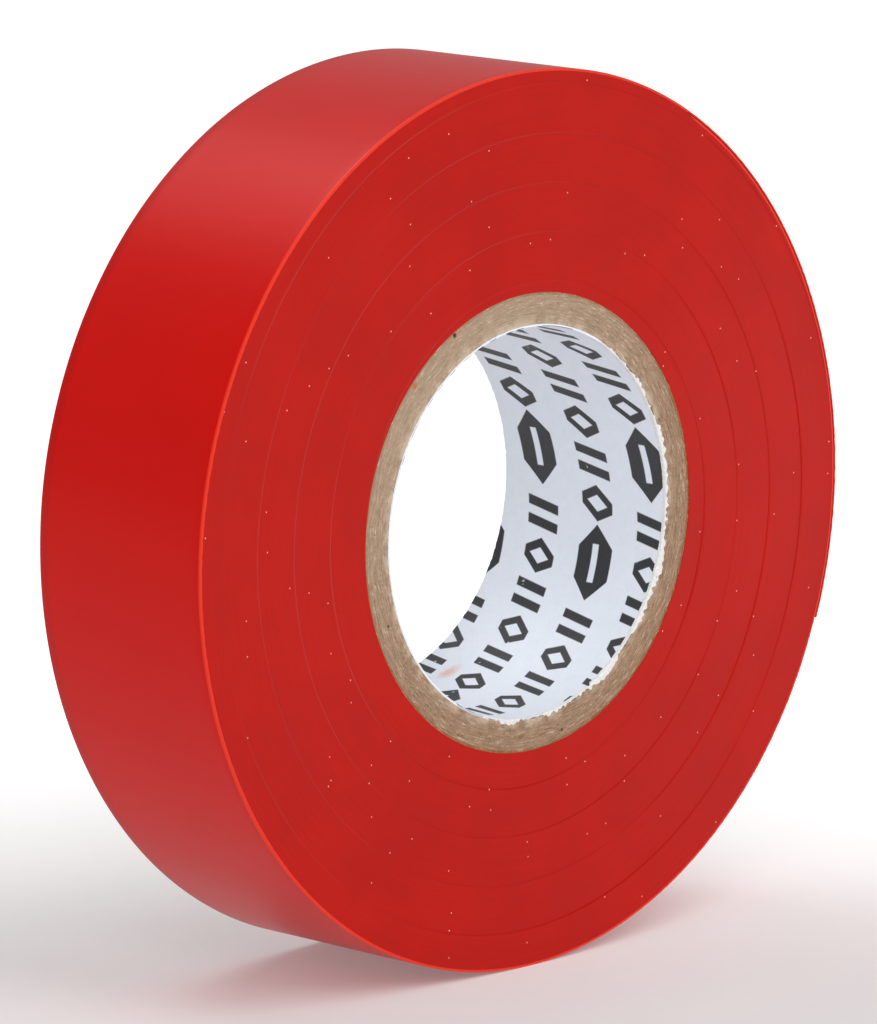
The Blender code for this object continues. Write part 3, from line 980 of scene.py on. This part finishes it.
class TAPEROLL_OT_core(Operator):
    """Add the core's plies of board and kraft paper, with their cut ends"""

    bl_idname = "taperoll.core"
    bl_label = "Core Plies"
    bl_options = {"REGISTER", "UNDO"}

    def execute(self, context):
        settings = context.scene.tape_roll_core
        board = cut_board("cut_board", settings, settings.board_brown)
        grey = cut_board("cut_grey_board", settings, [c * 0.92 for c in settings.board_brown])
        kraft = cut_board("cut_kraft", settings, settings.kraft_brown)
        for number, node in enumerate(BOARD_PLIES, 1):
            ply = make_ply(node, number, settings, board if number % 2 else grey)
            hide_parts(node)
            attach(ply, "roll")
        outer = make_ply("kraft_outer_ply", len(BOARD_PLIES) + 1, settings, kraft)
        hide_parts("kraft_outer_ply")
        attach(outer, "roll")
        return {"FINISHED"}


class TAPEROLL_OT_liner(Operator):
    """Add the printed liner of the bore and its torn front edge"""

    bl_idname = "taperoll.liner"
    bl_label = "Printed Liner"
    bl_options = {"REGISTER", "UNDO"}

    def execute(self, context):
        settings = context.scene.tape_roll_core
        liner = make_liner(settings, coated_paper(settings))
        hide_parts("core_liner")
        lip = make_fray(settings, paper_fluff(settings))
        for piece in (liner, lip):
            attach(piece, "roll")
        return {"FINISHED"}


def camera_side(azimuth, elevation):
    """The unit vector to a place so far round to the left of the front face and so far up."""
    level = math.cos(elevation)
    return Vector((-math.sin(azimuth) * level, -math.cos(azimuth) * level, math.sin(elevation)))


class TAPEROLL_OT_stage(Operator):
    """Add the pale floor, the soft lights and the camera"""

    bl_idname = "taperoll.stage"
    bl_label = "Stage"
    bl_options = {"REGISTER", "UNDO"}

    def execute(self, context):
        settings = context.scene.tape_roll_stage
        half = settings.floor_size / 2.0
        corners = [(-half, -half), (half, -half), (half, half), (-half, half)]
        mesh = bpy.data.meshes.new("floor")
        mesh.from_pydata([(x, y, FLOOR_LEVEL) for x, y in corners], [], [(0, 1, 2, 3)])
        mesh.materials.append(floor_paper(settings))
        floor = bpy.data.objects.new("floor", mesh)
        context.scene.collection.objects.link(floor)
        for name, left, up, size, power in SOFTBOXES:
            spot = camera_side(math.radians(left), math.radians(up)) * SOFTBOX_DISTANCE
            lamp = bpy.data.lights.new(name, "AREA")
            lamp.shape = "RECTANGLE"
            lamp.size, lamp.size_y = size
            lamp.energy = power
            light = bpy.data.objects.new(name, lamp)
            light.location = spot
            light.rotation_euler = (-spot).to_track_quat("-Z", "Y").to_euler()
            context.scene.collection.objects.link(light)
        world = bpy.data.worlds.new("white_studio")
        world.use_nodes = True
        sky = world.node_tree.nodes["Background"]
        sky.inputs["Color"].default_value = (1.0, 1.0, 1.0, 1.0)
        sky.inputs["Strength"].default_value = settings.sky
        context.scene.world = world
        aim = Vector(settings.camera_aim)
        back = camera_side(settings.azimuth, settings.elevation)
        lens = bpy.data.cameras.new("camera")
        lens.lens = settings.camera_lens
        lens.clip_start, lens.clip_end = 0.01, 100.0
        camera = bpy.data.objects.new("camera", lens)
        camera.location = aim + back * settings.camera_distance
        camera.rotation_euler = (-back).to_track_quat("-Z", "Y").to_euler()
        context.scene.collection.objects.link(camera)
        context.scene.camera = camera
        context.scene.view_settings.view_transform = "Standard"
        return {"FINISHED"}


class VIEW3D_PT_tape_roll(Panel):
    bl_label = "Tape Roll"
    bl_space_type = "VIEW_3D"
    bl_region_type = "UI"
    bl_category = "Tape Roll"

    def draw(self, context):
        scene = context.scene
        for group in (scene.tape_roll_tape, scene.tape_roll_core, scene.tape_roll_stage):
            box = self.layout.box()
            for name in group.__annotations__:
                box.prop(group, name)
        for operator in OPERATORS:
            self.layout.operator(operator.bl_idname)


OPERATORS = (
    TAPEROLL_OT_wound_turns,
    TAPEROLL_OT_outer_turn,
    TAPEROLL_OT_free_end,
    TAPEROLL_OT_core,
    TAPEROLL_OT_liner,
    TAPEROLL_OT_stage,
)
CLASSES = (TapeSettings, CoreSettings, StageSettings, *OPERATORS, VIEW3D_PT_tape_roll)


def register():
    for made in CLASSES:
        bpy.utils.register_class(made)
    bpy.types.Scene.tape_roll_tape = PointerProperty(type=TapeSettings)
    bpy.types.Scene.tape_roll_core = PointerProperty(type=CoreSettings)
    bpy.types.Scene.tape_roll_stage = PointerProperty(type=StageSettings)


def unregister():
    del bpy.types.Scene.tape_roll_stage
    del bpy.types.Scene.tape_roll_core
    del bpy.types.Scene.tape_roll_tape
    for made in reversed(CLASSES):
        bpy.utils.unregister_class(made)


def main():
    register()
    bpy.ops.taperoll.wound_turns()
    bpy.ops.taperoll.outer_turn()
    bpy.ops.taperoll.free_end()
    bpy.ops.taperoll.core()
    bpy.ops.taperoll.liner()
    bpy.ops.taperoll.stage()


if __name__ == "__main__":
    main()
